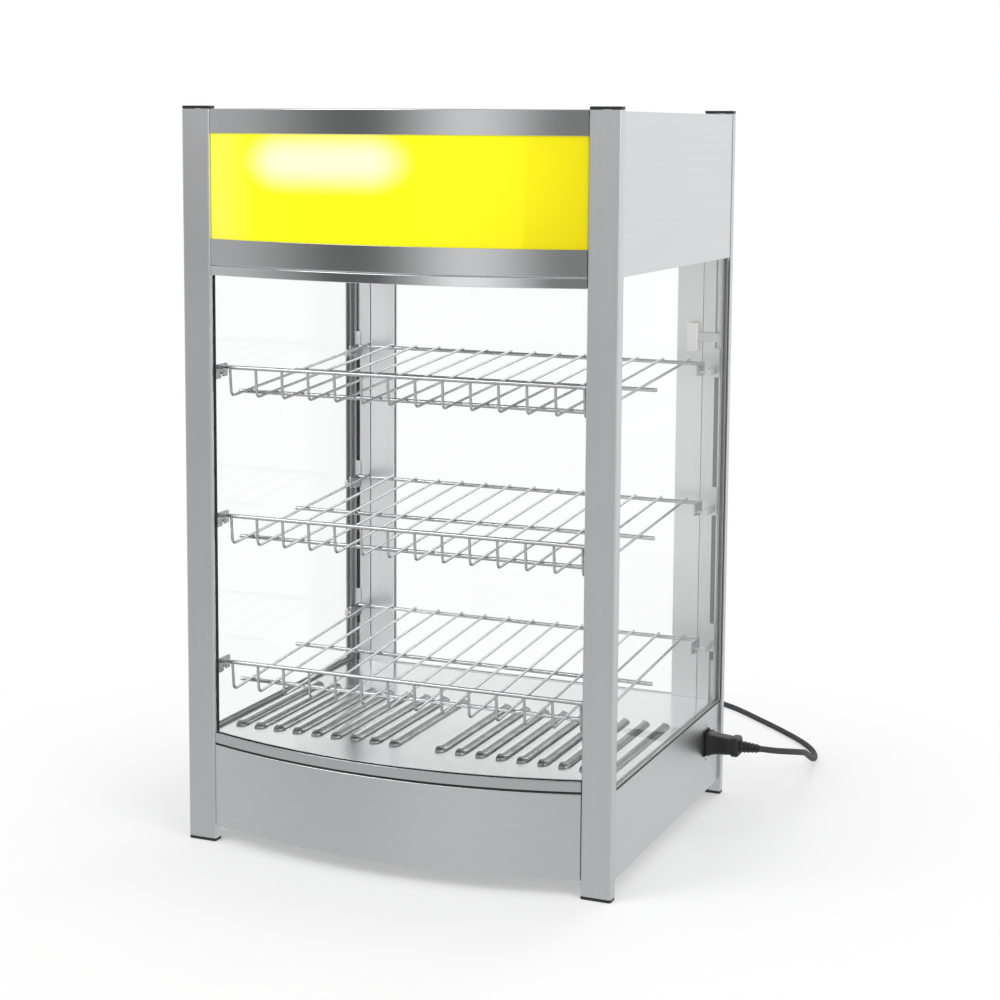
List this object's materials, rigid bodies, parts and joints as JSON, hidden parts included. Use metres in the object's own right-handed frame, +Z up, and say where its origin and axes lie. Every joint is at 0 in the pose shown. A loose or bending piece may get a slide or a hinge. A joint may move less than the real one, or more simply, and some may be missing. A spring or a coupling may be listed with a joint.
{
  "type": "heated display case",
  "caption": "Countertop warming showcase with a bow glass front, lit yellow header, wire racks, louvred deck and a glazed door at the back.",
  "frame": {"origin": "on the surface under the middle of the case, bow front and door handle counted", "axes": "+Z up, -Y towards the bow front, +X towards the side with the mains inlet"},
  "size_m": [0.5884, 0.7803, 0.79],
  "materials": {
    "post_aluminium": "satin anodised",
    "black_plastic": "fine matt",
    "hanger_steel": "galvanised",
    "brushed_steel": "brushed",
    "bright_steel": "bright, fine brushed",
    "yellow_acrylic": "translucent gloss",
    "white_plastic": "satin",
    "lamp_glass": "frosted",
    "clear_glass": "clear polished",
    "black_rubber": "matt",
    "rack_chrome": "plated wire",
    "element_steel": "heat-darkened",
    "green_plastic": "translucent gloss",
    "cord_rubber": "smooth matt"
  },
  "bodies": {
    "cabinet": {"front_left_post": "post_aluminium", "front_right_post": "post_aluminium", "rear_left_post": "post_aluminium", "rear_right_post": "post_aluminium", "front_left_post_cap": "black_plastic", "front_right_post_cap": "black_plastic", "rear_left_post_cap": "black_plastic", "rear_right_post_cap": "black_plastic", "front_left_post_foot": "black_plastic", "front_right_post_foot": "black_plastic", "rear_left_post_foot": "black_plastic", "rear_right_post_foot": "black_plastic", "switch_housing": "black_plastic", "power_inlet": "black_plastic", "cord_tie": "black_plastic", "mains_plug": "black_plastic", "front_left_rack_hanger": "hanger_steel", "front_right_rack_hanger": "hanger_steel", "rear_left_rack_hanger": "hanger_steel", "rear_right_rack_hanger": "hanger_steel", "header_floor": "hanger_steel", "base_plate": "hanger_steel", "thermostat": "hanger_steel", "header_upper_rail": "brushed_steel", "header_lower_rail": "brushed_steel", "header_cover": "brushed_steel", "plinth_front": "brushed_steel", "plinth_left_panel": "brushed_steel", "plinth_right_panel": "brushed_steel", "plinth_back_panel": "brushed_steel", "upper_glass_channel": "bright_steel", "lower_glass_channel": "bright_steel", "deck": "bright_steel", "upper_hinge_bracket": "bright_steel", "lower_hinge_bracket": "bright_steel", "sign_panel": "yellow_acrylic", "lamp_batten": "white_plastic", "door_catch": "white_plastic", "lamp_tube": "lamp_glass", "front_glass": "clear_glass", "left_side_glass": "clear_glass", "right_side_glass": "clear_glass", "left_glass_seal": "black_rubber", "right_glass_seal": "black_rubber", "plinth_seal": "black_rubber", "heating_element": "element_steel", "cord_connector": "cord_rubber", "power_cord": "cord_rubber", "power_cord_coil": "cord_rubber"},
    "door": {"door_frame": "post_aluminium", "door_glass": "clear_glass", "door_handle": "bright_steel", "catch_strike": "bright_steel", "upper_hinge_leaf": "bright_steel", "lower_hinge_leaf": "bright_steel"},
    "knob": {"thermostat_knob": "black_plastic"},
    "rocker": {"heat_switch_rocker": "green_plastic"},
    "upper_rack_body": {"upper_rack": "rack_chrome"},
    "middle_rack_body": {"middle_rack": "rack_chrome"},
    "lower_rack_body": {"lower_rack": "rack_chrome"}
  },
  "joints": [
    {"name": "door_hinge", "type": "hinge", "parent": "cabinet", "child": "door", "pos_m": [-0.21, 0.2005, 0.37], "axis": [0, 0, 1], "range_deg": [0, 110]},
    {"name": "thermostat_turn", "type": "hinge", "parent": "cabinet", "child": "knob", "pos_m": [0.11, 0.2, 0.053], "axis": [0, 1, 0], "range_deg": [0, 270]},
    {"name": "heat_switch_rock", "type": "hinge", "parent": "cabinet", "child": "rocker", "pos_m": [0.04, 0.19, 0.053], "axis": [1, 0, 0], "range_deg": [0, 16]},
    {"name": "upper_rack_lift", "type": "slide", "parent": "cabinet", "child": "upper_rack_body", "axis": [0, 0, 1], "range_m": [0, 0.014]},
    {"name": "middle_rack_lift", "type": "slide", "parent": "cabinet", "child": "middle_rack_body", "axis": [0, 0, 1], "range_m": [0, 0.014]},
    {"name": "lower_rack_lift", "type": "slide", "parent": "cabinet", "child": "lower_rack_body", "axis": [0, 0, 1], "range_m": [0, 0.014]}
  ]
}
